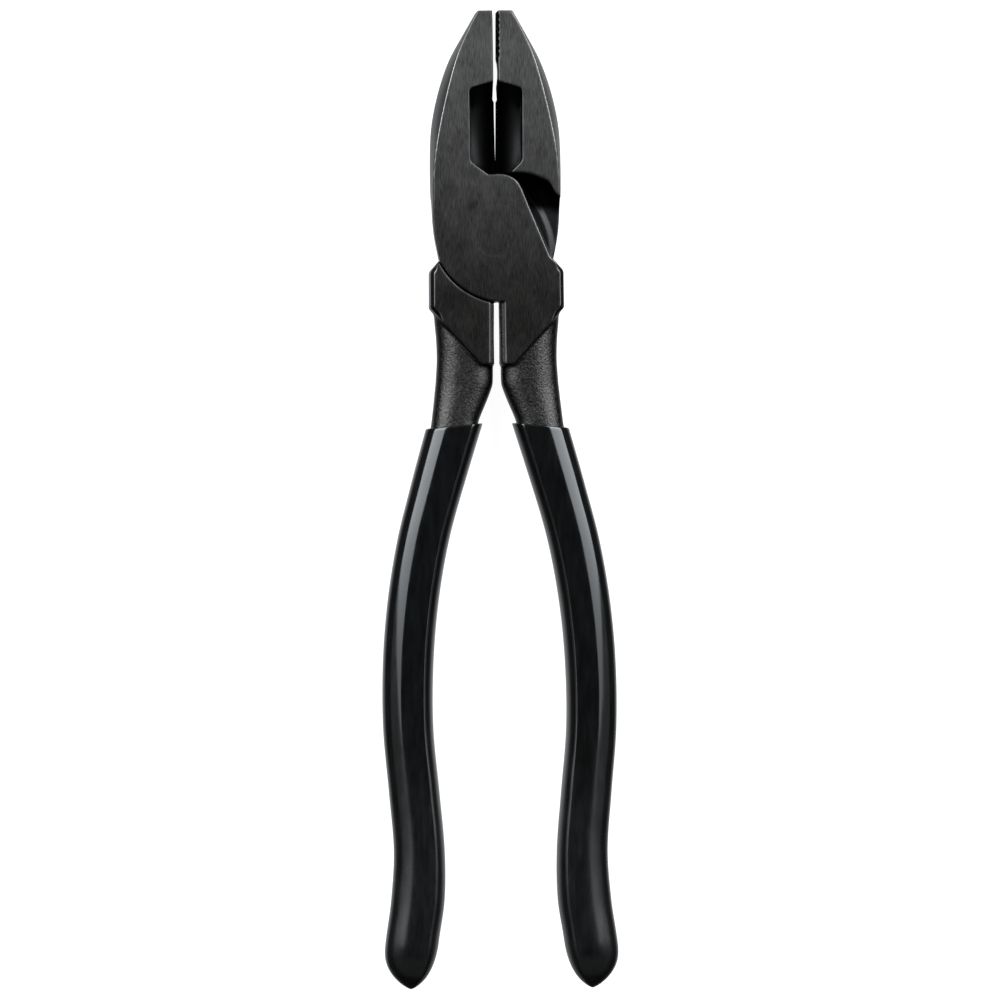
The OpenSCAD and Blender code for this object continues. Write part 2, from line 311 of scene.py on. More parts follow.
def outline_distance(points, x, y):
    """Distance to a closed outline."""
    best = np.full(np.broadcast(x, y).shape, 1e9)
    inside = np.zeros(best.shape, bool)
    for (ax, ay), (bx, by) in zip(points, points[1:] + points[:1]):
        ex, ey = bx - ax, by - ay
        t = np.clip(((x - ax) * ex + (y - ay) * ey) / (ex * ex + ey * ey), 0, 1)
        best = np.minimum(best, (x - ax - t * ex) ** 2 + (y - ay - t * ey) ** 2)
        if ey:
            inside ^= ((ay <= y) != (by <= y)) & (x < ax + (y - ay) * ex / ey)
    return np.where(inside, -1.0, 1.0) * np.sqrt(best)


def both(a, b, r):
    """What is in a and in b, with the edge between them rounded to radius r."""
    return np.minimum(np.maximum(a, b), -r) + np.hypot(np.maximum(a + r, 0), np.maximum(b + r, 0))


def either(a, b, r):
    """What is in a or in b, with a fillet of radius r between them."""
    return np.maximum(np.minimum(a, b), r) - np.hypot(np.maximum(r - a, 0), np.maximum(r - b, 0))


def ramp(start, end, v):
    """0 before start, 1 after end, and smooth between them."""
    t = np.clip((v - start) / (end - start), 0, 1)
    return t * t * (3 - 2 * t)


def walls(flat, x, y, z):
    """Upright side wall on an outline's distance, with the jaws' outer sides swelling towards the middle."""
    slope = SIDE_SWELL / MID_Z
    reach = np.hypot(x - SIDE_CENTRE[0], y - SIDE_CENTRE[1]) - SIDE_R
    lens = (reach - slope * (MID_Z - np.abs(z - MID_Z))) / math.hypot(1, slope)
    return both(flat, lens, SIDE_ROUND)


def edge_break(flat, z, size):
    """Chamfer between a wall at distance flat and the ground faces."""
    outer = np.abs(z - MID_Z) - MID_Z
    return (flat + outer * CHAMFER_LEAN + size) / math.hypot(1, CHAMFER_LEAN)


def chamfer_size(x, y):
    """Width of the edge break: wide on the cheek's outer edge, narrow on the S-shaped edge, else least."""
    arc_distance = np.hypot(x - BACK_CENTRE[0], y - BACK_CENTRE[1])
    along_cheek = ramp(*CHEEK_CHAMFER_TOP, y) * ramp(*CHEEK_CHAMFER_SIDE, x) * ramp(*CHEEK_CHAMFER_LOW, y)
    along_cheek = along_cheek * ramp(*CHEEK_CHAMFER_ARC, arc_distance)
    along_lap = ramp(*LAP_CHAMFER_SIDE, x) * ramp(*LAP_CHAMFER_LOW, y) * ramp(*LAP_CHAMFER_TOP, y)
    size = SIDE_CHAMFER + (LAP_CHAMFER - SIDE_CHAMFER) * along_lap
    return size + (CHEEK_CHAMFER - size) * along_cheek


def tooth_depth(y, z):
    """Depth of the teeth across the gripping face. They stop before the front edge."""
    down = JAW_TIP_Y - TOOTH_START - y
    saw = 1 - np.abs(2 * (down / TOOTH_PITCH % 1) - 1)
    toothed = (down > 0) & (down < TOOTH_COUNT * TOOTH_PITCH)
    land = HEAD_T - TOOTH_LAND
    return TOOTH_DEPTH * saw * toothed * ramp(land + TOOTH_FADE, land, z)


def teeth(x, y, z):
    """What the teeth leave of the jaw."""
    depth = tooth_depth(y, z)
    return np.where(depth > 0, (x + JAW_GAP + depth) * TOOTH_SCALE, WELL_INSIDE)


def notch(x, y, height):
    """Hollow in the gripping face below the teeth. Height is measured from the tool's back face."""
    share = np.clip((NOTCH_TOP - y) / NOTCH_L, 0, 1)
    start, end = NOTCH_FADE
    depth = NOTCH_DEPTH * 4 * share * (1 - share) * ramp(MID_Z + start, MID_Z + end, height)
    return np.where((share > 0) & (share < 1), x + JAW_GAP + depth, WELL_INSIDE)


def lap_face(x, y, z):
    """Flat face of the lap plate, with a shallow step down towards its outer side."""
    line = LAP_STEP_X - LAP_STEP_CURVE * (y - LAP_STEP_Y) ** 2
    drop = LAP_STEP * ramp(*LAP_STEP_FADE, -x - line) * (np.abs(y) < LAP_STEP_REACH)
    return (MID_Z + LAP_GAP / 2 + drop - z) * LAP_SCALE


def knife_hollow(window, x, y, z):
    """Window beside the knife: upright walls, a hollow-ground slope and a rise at its upper end."""
    slope = KNIFE_SLOPE + KNIFE_CURVE * np.abs(x) + KNIFE_HOLLOW * (y - KNIFE_MIDDLE_Y) ** 2
    above = (y - KNIFE_END_Y + np.hypot(y - KNIFE_END_Y, WINDOW_RISE_BLEND)) / 2
    bevel = (MID_Z + (KNIFE_LEAD - x) * slope + WINDOW_RISE * above - z) / np.hypot(1, slope)
    floor = HEAD_T - WINDOW_DEPTH + FLOOR_RISE * above - z
    return both(outline_distance(window, x, y), either(bevel, floor, KNIFE_FILLET), WINDOW_EDGE_R)


def gap_edge_break(x, y, z):
    """Chamfer on the cheek's edge beside the other handle."""
    outer = np.abs(z - MID_Z) - MID_Z
    chamfer = (outer + HANDLE_GAP - x) / math.sqrt(2) + GAP_CHAMFER
    return np.where(y < GAP_CHAMFER_Y, chamfer, WELL_INSIDE)


def rivet_hole(x, y, z):
    """Hole for the rivet, with the countersink for its front head."""
    flare = np.maximum(z - (HEAD_T - RIVET_HEAD_H), 0)
    return (np.hypot(x, y) - RIVET_R - flare) / np.where(flare > 0, math.sqrt(2), 1) + RIVET_SEAT


def tang_size(s):
    """Middle, half width and half thickness of the tang at distance s from the rivet."""
    if s < BARE_TANG[-1][0]:
        row = row_at(BARE_TANG, s)
        return (row[1] + row[2]) / 2, (row[2] - row[1]) / 2, row[3]
    row = row_at(GRIP_LINE, s)
    return row[1], row[2] - GRIP_WALL, GRIP_T / 2 - GRIP_WALL


def tang_distance(x, y, z):
    """The tang below the cheek, with a rounded section."""
    top = BARE_TANG[0][0]
    size = np.array([tang_size(max(-float(v), top)) for v in y.ravel()])
    middle, half_w, half_t = (size[:, i].reshape(y.shape) for i in range(3))
    u = (x - middle) / half_w
    power = np.where(u > 0, 2 / SECTION_OUTER, 2 / SECTION_INNER)
    share = np.abs(u) ** power + np.abs((z - MID_Z) / half_t) ** (2 / SECTION_Z)
    return np.maximum((share ** SECTION_ROOT - 1) * np.minimum(half_w, half_t), y + top)


def forging_distance(x, y, z, notch_height):
    """Left jaw, front lap plate, right cheek and the upper tang."""
    front = outline_distance(FRONT, x, y)
    shoulder = outline_distance(BACK_JAW, x, y)
    cheek = outline_distance(BACK_CHEEK, x, y)
    chamfer = chamfer_size(x, y)
    lap = lap_face(x, y, z)
    back_only = z - MID_Z - LAP_GAP - BACK_REACH
    faces = np.abs(z - MID_Z) - MID_Z
    side = both(walls(front, x, y, z), faces, EDGE_R)
    side = both(side, edge_break(front, z, chamfer), EDGE_R)
    plate = both(side, lap, EDGE_R)
    cove = np.clip((np.abs(x) - COVE_START_X) * COVE_GROWTH, EDGE_R, COVE_R)
    jaw = np.maximum(side, either(both(shoulder, faces, SHOULDER_R), lap, cove))
    back_cheek = both(both(cheek, faces, EDGE_R), edge_break(cheek, z, chamfer), EDGE_R)
    body = np.minimum(plate, np.maximum(np.minimum(jaw, back_cheek), back_only))
    body = both(body, gap_edge_break(x, y, z), EDGE_R)
    body = either(body, tang_distance(x, y, z), TANG_FILLET)
    body = np.maximum(body, -knife_hollow(FRONT_WINDOW, x, y, z))
    body = np.maximum(body, -knife_hollow(BACK_WINDOW, x, y, HEAD_T - z))
    body = np.maximum(body, np.maximum(teeth(x, y, z), notch(x, y, notch_height)))
    body = np.maximum(body, -rivet_hole(x, y, z))
    return np.maximum(body, GRID_LOW[1] + 2 * STEP - y)


# ---------- meshes ----------

def surface_net(distance):
    """Mesh of a distance field on the grid: points, faces and the field itself."""
    axes = [np.arange(low, high, STEP) for low, high in zip(GRID_LOW, GRID_HIGH)]
    x, y, z = np.meshgrid(*axes, indexing="ij", sparse=True)
    field = distance(x, y, z).astype(np.float32)
    inside = field < 0
    count = sum(inside[i:i - 1 or None, j:j - 1 or None, k:k - 1 or None].astype(np.int8)
                for i in (0, 1) for j in (0, 1) for k in (0, 1))
    active = (count > 0) & (count < 8)
    cells = np.argwhere(active)
    index = np.full(active.shape, -1, np.int64)
    index[active] = np.arange(len(cells))
    total = np.zeros((len(cells), 3))
    number = np.zeros(len(cells))
    faces = []
    for axis in range(3):
        u, v = (axis + 1) % 3, (axis + 2) % 3
        for du in (0, 1):
            for dv in (0, 1):
                start = cells.copy()
                start[:, u] += du
                start[:, v] += dv
                end = start.copy()
                end[:, axis] += 1
                a, b = field[tuple(start.T)], field[tuple(end.T)]
                hit = (a < 0) != (b < 0)
                point = start.astype(float)
                point[:, axis] += np.where(hit, a / np.where(hit, a - b, 1), 0)
                total += point * hit[:, None]
                number += hit
        first = np.take(inside, range(inside.shape[axis] - 1), axis)
        second = np.take(inside, range(1, inside.shape[axis]), axis)
        edges = np.argwhere(first != second)
        outward = first[tuple(edges.T)]
        corners = []
        for du, dv in ((1, 1), (0, 1), (0, 0), (1, 0)):
            cell = edges.copy()
            cell[:, u] -= du
            cell[:, v] -= dv
            corners.append(index[tuple(cell.T)])
        quads = np.stack(corners, axis=1)
        faces.append(np.where(outward[:, None], quads, quads[:, ::-1]))
    points = np.array(GRID_LOW) + STEP * total / number[:, None]
    return points, np.concatenate(faces), field


def sample(field, points):
    """Value of a field on the grid at points, linear between grid points."""
    place = (points - np.array(GRID_LOW)) / STEP
    place = np.clip(place, 0, np.array(field.shape) - 1.001)
    base = place.astype(int)
    t = place - base
    value = np.zeros(len(points))
    for corner in np.ndindex(2, 2, 2):
        weight = np.prod(np.where(corner, t, 1 - t), axis=1)
        value += weight * field[tuple((base + corner).T)]
    return value


def make_mesh(name, points, faces, attributes=None):
    """Blender object from points in millimetres, with smooth shading and float values on its points."""
    mesh = bpy.data.meshes.new(name)
    mesh.from_pydata((np.asarray(points) * MM).tolist(), [], [list(f) for f in faces])
    for key, values in (attributes or {}).items():
        mesh.attributes.new(key, "FLOAT", "POINT").data.foreach_set("value", np.asarray(values, np.float32))
    mesh.shade_smooth()
    obj = bpy.data.objects.new(name, mesh)
    bpy.context.scene.collection.objects.link(obj)
    return obj


def vertex_normals(points, faces):
    """Normals at the points of a quad mesh, weighted by the faces' areas."""
    corners = points[faces]
    normal = np.cross(corners[:, 2] - corners[:, 0], corners[:, 3] - corners[:, 1])
    total = np.zeros_like(points)
    for i in range(4):
        np.add.at(total, faces[:, i], normal)
    return total / np.maximum(np.linalg.norm(total, axis=1, keepdims=True), 1e-12)


def loft(rings):
    """Points and faces of a tube through rings with equal numbers of points, closed at both ends."""
    n = len(rings[0])
    points = [p for ring in rings for p in ring]
    faces = []
    for k in range(len(rings) - 1):
        for i in range(n):
            j = (i + 1) % n
            faces.append((k * n + i, k * n + j, (k + 1) * n + j, (k + 1) * n + i))
    faces.append(tuple(range(n - 1, -1, -1)))
    faces.append(tuple((len(rings) - 1) * n + i for i in range(n)))
    return points, faces


def turned_over(points):
    """The same points after half a turn about the Y axis through the middle of the thickness."""
    return np.asarray(points) * (-1, 1, -1) + (0, 0, HEAD_T)


def swung(points, angle):
    """Points turned about the rivet's axis."""
    c, s = math.cos(angle), math.sin(angle)
    return np.asarray(points) @ np.array([[c, s, 0], [-s, c, 0], [0, 0, 1]])


# ---------- forgings and rivet ----------

def edge_values(x, y, z):
    """Distances from the edge of the ground faces, and from the foot of the chamfer along it."""
    flat = np.where(z > MID_Z, outline_distance(FRONT, x, y),
                    np.minimum(outline_distance(BACK_JAW, x, y), outline_distance(BACK_CHEEK, x, y)))
    side = walls(flat, x, y, 0 * z)
    below = y < GAP_CHAMFER_Y
    gap_foot = np.where(below, HANDLE_GAP - x, WELL_INSIDE)
    gap_edge = np.where(below, HANDLE_GAP + GAP_CHAMFER * math.sqrt(2) - x, WELL_INSIDE)
    foot = np.maximum(side, gap_foot)
    edge = np.maximum(side + chamfer_size(x, y), gap_edge)
    return {"edge": np.clip(edge, -1, 1), "foot": np.clip(foot, -1, 1)}


def wear_glint_values(x, y, z):
    """How bright each stretch of the ground faces' edge is painted, partly as wear and partly as painted
    highlight, and of the chamfer's foot.
    """
    front = z > MID_Z
    off_arc = front | (np.hypot(x - BACK_CENTRE[0], y - BACK_CENTRE[1]) > LOBE_R + CHEEK_GAP + 1)
    jaw_side = JAW_SIDE_WEAR_GLINT * (x < -7) * ramp(11, 14, y) * ramp(50, 45, y)
    lap_edge = LAP_EDGE_WEAR_GLINT * front * (x > -3) * (y < 14.2) * ramp(-9, -7, y) * (x + 0.402 * y > 2)
    cheek_edge = CHEEK_EDGE_WEAR_GLINT * off_arc * (x > 11) * (y < -6.5) * (y > -19.5)
    step_edge = STEP_EDGE_WEAR_GLINT * (x > 3.2) * (y <= -19.5) * (y > -34)
    gap_edge = GAP_EDGE_WEAR_GLINT * (np.abs(x) < 3.2) * (y < GAP_CHAMFER_Y) * (y > -32.5)
    near_face = ramp(2.2, 1.6, MID_Z - np.abs(z - MID_Z))
    edge = np.minimum(jaw_side + lap_edge + cheek_edge + step_edge + gap_edge, 1)
    foot = np.minimum(FOOT_LAP_SHARE * lap_edge + FOOT_CHEEK_SHARE * cheek_edge + gap_edge, 1)
    return {"wear_glint": near_face * edge, "foot_wear_glint": near_face * foot}


def zone_values(x, y, z):
    """Zones for the colour: ground faces, forged tang, windows and teeth (near black: dark oxide with painted
    shade), distance from the slit, and the recess (painted shade).
    """
    from_face = MID_Z - np.abs(z - MID_Z)
    # Windows and gripping faces: near black for unground oxide, partly painted shade.
    window = (from_face > 0.15) * (np.abs(x) < WINDOW_HALF_W + 0.15) * (y > 11.5) * (y < 37)
    gripping = (y > 30) * (x > -1.2) * ramp(-0.22, -0.1, x + JAW_GAP + tooth_depth(y, z))
    inward = -walls(outline_distance(FRONT, x, y), x, y, z)
    # Painted shade in the recess beside the other plate's wall, weaker below the cove.
    recess_shade = ramp(0.0, 0.4, inward) * ramp(0.2, 0.5, from_face) * (x < 2) * (y < 16) * (y > -12)
    recess_shade = recess_shade * (0.6 + 0.4 * ramp(4.2, 6.2, y))
    forged = ramp(0.3, 0.8, from_face) * ramp(-17, -19, y)
    return {"ground": ramp(0.3, 0.1, from_face), "window": np.maximum(window, gripping), "recess_shade": recess_shade,
            "forged": forged, "knife": ramp(1, 6, np.abs(x))}


def corner_shade_values(points, normals, field):
    """How far each point lies in a corner, for painted shade there: 0 on an open face and 1 in a tight place.
    """
    free = sample(field, points + SHADE_REACH * normals) / SHADE_REACH
    return {"corner_shade": np.clip(SHADE_GAIN * (1 - free), 0, 1)}


def tang_in_grip():
    """Rings of the tang from just inside the grip to its end."""
    stops = list(np.arange(TANG_NET_END, HOLLOW_END - GRIP_TIP_L, 3)) + [HOLLOW_END - d for d in END_STOPS]
    return [sleeve_ring(s, TANG_CLEARANCE, TANG_RING_N) for s in stops]


def make_forging(name, height, placed):
    """One forging. Height gives the height above the tool's back, and placed puts the points in place."""
    points, faces, field = surface_net(lambda x, y, z: forging_distance(x, y, z, height(z)))
    values = {**edge_values(*points.T), **wear_glint_values(*points.T), **zone_values(*points.T),
              **corner_shade_values(points, vertex_normals(points, faces), field)}
    core_points, core_faces = loft(tang_in_grip())
    first = len(points)
    all_points = np.concatenate([points, core_points])
    all_faces = faces.tolist() + [[i + first for i in face] for face in core_faces]
    values = {k: np.concatenate([v, np.zeros(len(core_points))]) for k, v in values.items()}
    return make_mesh(name, placed(all_points), all_faces, values)


def make_forgings():
    """Both forgings: the right jaw's is the left jaw's turned over."""
    half = REST_ANGLE / 2
    left = make_forging("left_jaw_steel", lambda z: z, lambda p: swung(p, half))
    right = make_forging("right_jaw_steel", lambda z: HEAD_T - z, lambda p: swung(turned_over(p), -half))
    return left, right


def make_rivet():
    """Hot rivet with both heads ground flush."""
    r, h, proud = RIVET_R, RIVET_HEAD_H, RIVET_PROUD
    centre, rim = 0.5, r - 1
    profile = [(centre, -proud), (rim, -proud), (r + h, -proud), (r, h), (r, MID_Z), (r, HEAD_T - h),
               (r + h, HEAD_T + proud), (rim, HEAD_T + proud), (centre, HEAD_T + proud)]
    around = np.radians(np.arange(0, 360, 3))
    rings = [[(radius * math.cos(a), radius * math.sin(a), z) for a in around] for radius, z in profile]
    points, faces = loft(rings)
    faces = [tuple(reversed(f)) for f in faces]
    z = np.array(points)[:, 2]
    ground = ((z < 0) | (z > HEAD_T)).astype(float)
    values = {"ground": ground, "edge": -ground, "foot": -ground}
    rivet = make_mesh("flush_rivet", points, faces, values)
    rivet.data.set_sharp_from_angle(angle=math.radians(30))
    return rivet


# ---------- grips ----------

def tip_share(d):
    """Width of a grip's end as a share of its full width, at distance d from its tip."""
    if d >= GRIP_TIP_L:
        return 1.0
    return max(0.0, 1 - (1 - d / GRIP_TIP_L) ** TIP_FULLNESS) ** TIP_BLUNTNESS


def plain_section(s, middle, half_w, half_t, n):
    """Rounded section across the handle, fuller on its inner side."""
    ring = []
    for i in range(n):
        c, q = math.cos(2 * math.pi * i / n), math.sin(2 * math.pi * i / n)
        power = SECTION_OUTER if c > 0 else SECTION_INNER
        ring.append((middle + half_w * math.copysign(abs(c) ** power, c), -s,
                     MID_Z + half_t * math.copysign(abs(q) ** SECTION_Z, q)))
    return ring


def crowned_side(u):
    """Height of the inner side of a grip's section, 0 at its edge and 1 in the middle, with a soft ridge."""
    flank = RIDGE_HEIGHT
    if u > RIDGE_U:
        flank *= math.sqrt(max(0, 1 - ((u - RIDGE_U) / (1 - RIDGE_U)) ** 2))
    top = 1 - CROWN * u * u
    k = RIDGE_SOFTNESS
    h = max(k - abs(flank - top), 0) / k
    return min(flank, top) - h * h * k / 4


def grip_section(s, middle, half_w, half_t, tilt):
    """Section of a grip's outside: round on the outer side, flatter with a ridge on the inner side."""
    quarter = GRIP_RING_N // 4
    profile = []
    for i in range(quarter):
        a = math.pi / 2 * i / quarter
        profile.append((math.cos(a) ** SECTION_OUTER, math.sin(a) ** SECTION_Z))
    for i in range(quarter + 1):
        u = math.sin(math.pi / 2 * i / quarter)
        profile.append((-u, crowned_side(u) if i < quarter else 0.0))
    profile += [(u, -v) for u, v in profile[-2:0:-1]]
    return [(middle + half_w * u, -s - tilt * half_w * u, MID_Z + half_t * v) for u, v in profile]


def top_tilt(s):
    """Slope of a section near the grip's upper end, which is cut a little askew."""
    return GRIP_TOP_TILT * max(0, 1 - (s - GRIP_START) / TILT_L)


def grip_ring(s, inset):
    """Ring of a grip's outside at distance s from the rivet, drawn in by inset."""
    row = row_at(GRIP_LINE, s)
    share = tip_share(GRIP_END - s)
    return grip_section(s, row[1], row[2] * share - inset, GRIP_T / 2 * share - inset, top_tilt(s))


def sleeve_ring(s, clearance, n):
    """Ring inside the grip, on its wall or at a clearance from it. The wall grows towards the end."""
    row = row_at(GRIP_LINE, s)
    wall = GRIP_WALL + clearance + max(0, s - HOLLOW_END + GRIP_TIP_L) * WALL_GROWTH
    share = tip_share(GRIP_END - wall - s)
    return plain_section(s, row[1], (row[2] - wall) * share, (GRIP_T / 2 - wall) * share, n)


def grip_hollow_ring(s):
    """Ring of the grip's inside, on the tang."""
    middle = row_at(GRIP_LINE, s)[1]
    return [(x, y - top_tilt(s) * (x - middle), z) for x, y, z in sleeve_ring(s, 0, GRIP_RING_N)]


def make_grip():
    """Points and faces of the grip on the right handle: a closed sleeve with a rounded lip."""
    lip_angles = np.radians((0, 30, 60, 90))
    lip = LIP_R * (1 - np.cos(lip_angles))
    rise = LIP_R * (1 - np.sin(lip_angles))
    rings = [grip_ring(GRIP_START + a, b) for a, b in zip(lip, rise)]
    body_end = GRIP_END - GRIP_TIP_L
    rings += [grip_ring(s, 0) for s in np.arange(GRIP_START + 1, body_end, GRIP_STEP)]
    rings += [grip_ring(body_end + GRIP_TIP_L * math.sin(a), 0) for a in np.radians(np.arange(0, 90, 3))]
    hollow = [grip_hollow_ring(s) for s in np.arange(GRIP_START, HOLLOW_END - GRIP_TIP_L, 4)]
    hollow += [grip_hollow_ring(HOLLOW_END - d) for d in END_STOPS]
    return loft(hollow[::-1] + rings)


def make_grips():
    """Both grips: the left one is the right one turned over."""
    points, faces = make_grip()
    half = REST_ANGLE / 2
    right = make_mesh("right_grip_vinyl", swung(points, half), faces)
    left = make_mesh("left_grip_vinyl", swung(turned_over(points), -half), faces)
    return left, right


# ---------- materials ----------

def new_material(name, **inputs):
    """Material with a Principled shader and its plain inputs set."""
    material = bpy.data.materials.new(name)
    material.use_nodes = True
    shader = material.node_tree.nodes["Principled BSDF"]
    for key, value in inputs.items():
        shader.inputs[key.replace("_", " ")].default_value = value
    return material, material.node_tree, shader


def add_node(tree, kind, **values):
    """Shader node with its properties and inputs set. An input's name has _ for each space."""
    node = tree.nodes.new(kind)
    for key, value in values.items():
        if hasattr(node, key):
            setattr(node, key, value)
        else:
            node.inputs[key.replace("_", " ")].default_value = value
    return node


def value_of(tree, name):
    """Output of a float value that the mesh carries on its points."""
    return add_node(tree, "ShaderNodeAttribute", attribute_name=name).outputs["Fac"]


def feed(tree, socket, value):
    """Sets a socket to an output or to a plain value."""
    if isinstance(value, (int, float, tuple)):
        socket.default_value = value
    else:
        tree.links.new(value, socket)


def math_node(tree, operation, a, b):
    """Result of a sum on two outputs or numbers."""
    node = add_node(tree, "ShaderNodeMath", operation=operation)
    feed(tree, node.inputs[0], a)
    feed(tree, node.inputs[1], b)
    return node.outputs[0]


def mixed(tree, share, a, b, kind="RGBA"):
    """Mix of two colours or numbers. Each is an output or a plain value."""
    node = add_node(tree, "ShaderNodeMix", data_type=kind)
    first, result = (6, 2) if kind == "RGBA" else (2, 0)
    feed(tree, node.inputs[0], share)
    feed(tree, node.inputs[first], a)
    feed(tree, node.inputs[first + 1], b)
    return node.outputs[result]


def along(tree, axis, space="Object"):
    """One coordinate of the place on the object, or of the direction for the world."""
    split = tree.nodes.new("ShaderNodeSeparateXYZ")
    tree.links.new(tree.nodes.new("ShaderNodeTexCoord").outputs[space], split.inputs[0])
    return split.outputs[axis]


def noise(tree, scale, stretch=(1, 1, 1), detail=3.0, roughness=0.55):
    """Noise on object coordinates. Scale is in features per metre, and stretch divides it along each axis."""
    place = tree.nodes.new("ShaderNodeTexCoord").outputs["Object"]
    mapping = add_node(tree, "ShaderNodeMapping", Scale=tuple(1 / s for s in stretch))
    tree.links.new(place, mapping.inputs["Vector"])
    texture = add_node(tree, "ShaderNodeTexNoise", Scale=scale, Detail=detail, Roughness=roughness)
    tree.links.new(mapping.outputs["Vector"], texture.inputs["Vector"])
    return texture.outputs["Fac"]


def remap(tree, value, low, high, to_low=0.0, to_high=1.0):
    """Value moved from one range to another, and held to it."""
    node = tree.nodes.new("ShaderNodeMapRange")
    tree.links.new(value, node.inputs["Value"])
    for key, number in (("From Min", low), ("From Max", high), ("To Min", to_low), ("To Max", to_high)):
        node.inputs[key].default_value = number
    return node.outputs["Result"]


def grey(v, warmth=0.0):
    """Grey colour, a little warm or cool."""
    return (v * (1 + warmth), v, v * (1 - warmth), 1.0)


def tones(tree, share, darkest, lightest, warmth=0.0):
    """Grey between two levels."""
    return mixed(tree, share, grey(darkest, warmth), grey(lightest, warmth))


def edge_line(tree, distance, wear_glint):
    """Thin line where a distance is zero, as strong as the painted wear and highlight there."""
    away = math_node(tree, "ABSOLUTE", value_of(tree, distance), 0)
    line = remap(tree, away, low=0.03, high=0.11, to_low=1.0, to_high=0.0)
    return math_node(tree, "MULTIPLY", line, value_of(tree, wear_glint))


def worn_glint_lines(tree, patches):
    """Bright lines on the edges and on the chamfers' feet, partly real wear and partly painted highlight,
    stronger in some patches.
    """
    line = math_node(tree, "MAXIMUM", edge_line(tree, "edge", "wear_glint"), edge_line(tree, "foot", "foot_wear_glint"))
    strength = remap(tree, patches, low=0.25, high=0.6, to_low=0.5, to_high=1.0)
    return math_node(tree, "MULTIPLY", line, strength)


def steel_colour(tree, ground, streaks, grain):
    """Colour of the steel: brushed faces that darken towards the cheeks, forged skin, windows dark with oxide
    and painted shade, painted shade in the recess and corners, and edges painted bright as wear and
    highlight.
    """
    # Near-black greys for painted shade in the recess and in corners; a light grey for edges painted bright,
    # partly wear and partly painted highlight.
    recess_shade_grey, corner_shade_grey, worn_glint_grey = grey(0.002), grey(0.003), grey(0.18, warmth=0.04)
    cloud_share, corner_shade_share = 0.35, 0.8
    clouds = noise(tree, 260, (1, 1.8, 1), detail=4.0)
    patches = noise(tree, 160, (1, 1.6, 1))
    streaky = remap(tree, streaks, low=0.36, high=0.64)
    finish = mixed(tree, cloud_share, streaky, remap(tree, clouds, low=0.3, high=0.7), "FLOAT")
    at_tips = tones(tree, finish, darkest=0.03, lightest=0.094, warmth=0.04)
    at_cheeks = tones(tree, finish, darkest=0.005, lightest=0.028, warmth=0.06)
    brushed = mixed(tree, remap(tree, along(tree, "Y"), low=-0.016, high=0.038), at_cheeks, at_tips)
    grainy = remap(tree, grain, low=0.35, high=0.7)
    skin = tones(tree, grainy, darkest=0.024, lightest=0.056, warmth=0.05)
    side = tones(tree, remap(tree, patches, low=0.3, high=0.7), darkest=0.037, lightest=0.057)
    colour = mixed(tree, value_of(tree, "forged"), side, skin)
    colour = mixed(tree, ground, colour, brushed)
    # Painted shade: the recess darkened to near black.
    colour = mixed(tree, value_of(tree, "recess_shade"), colour, recess_shade_grey)
    # Windows and gripping faces near black: dark oxide, with painted shade deepening towards the slit.
    hollow = tones(tree, value_of(tree, "knife"), darkest=0.001, lightest=0.008)
    colour = mixed(tree, value_of(tree, "window"), colour, hollow)
    # Painted shade: corners and tight places darkened towards near black.
    corner = math_node(tree, "MULTIPLY", value_of(tree, "corner_shade"), corner_shade_share)
    colour = mixed(tree, corner, colour, corner_shade_grey)
    # Edges painted bright: partly real wear, partly painted highlight.
    return mixed(tree, worn_glint_lines(tree, patches), colour, worn_glint_grey)


def steel_roughness(tree, ground, streaks, grain):
    """Roughness of the steel: even on the faces, smoother on the forged skin and dull beside the slit."""
    in_recess, beside_slit = 0.45, 0.95
    skin = remap(tree, grain, low=0.3, high=0.7, to_low=0.26, to_high=0.36)
    brushed = remap(tree, streaks, low=0.3, high=0.7, to_low=0.38, to_high=0.46)
    rough = mixed(tree, ground, skin, brushed, "FLOAT")
    rough = mixed(tree, value_of(tree, "recess_shade"), rough, in_recess, "FLOAT")
    near_slit = math_node(tree, "SUBTRACT", value_of(tree, "window"), value_of(tree, "knife"))
    return mixed(tree, math_node(tree, "MAXIMUM", near_slit, 0.0), rough, beside_slit, "FLOAT")


def add_bump(tree, shader, height, strength, distance):
    """Small bumps on a surface. Distance is in metres."""
    bump = add_node(tree, "ShaderNodeBump", Strength=strength, Distance=distance)
    tree.links.new(height, bump.inputs["Height"])
    tree.links.new(bump.outputs["Normal"], shader.inputs["Normal"])


def steel_material():
    """Blackened steel: brushed ground faces, a forged skin elsewhere, and edges painted bright, partly as
    wear and partly as painted highlight.
    """
    material, tree, shader = new_material("blackened_steel", Metallic=1.0)
    streaks = noise(tree, 6500, (1, 16, 4), detail=4.0, roughness=0.7)
    grain = noise(tree, 2000, detail=4.0, roughness=0.6)
    on_face = remap(tree, value_of(tree, "edge"), low=-0.06, high=0.06, to_low=1.0, to_high=0.0)
    ground = math_node(tree, "MULTIPLY", value_of(tree, "ground"), on_face)
    tree.links.new(steel_colour(tree, ground, streaks, grain), shader.inputs["Base Color"])
    tree.links.new(steel_roughness(tree, ground, streaks, grain), shader.inputs["Roughness"])
    brushing_share = 0.12
    forged_grain = math_node(tree, "MULTIPLY", grain, value_of(tree, "forged"))
    brushing = math_node(tree, "MULTIPLY", streaks, brushing_share)
    height = mixed(tree, ground, forged_grain, brushing, "FLOAT")
    add_bump(tree, shader, height, strength=0.6, distance=0.0002)
    return material


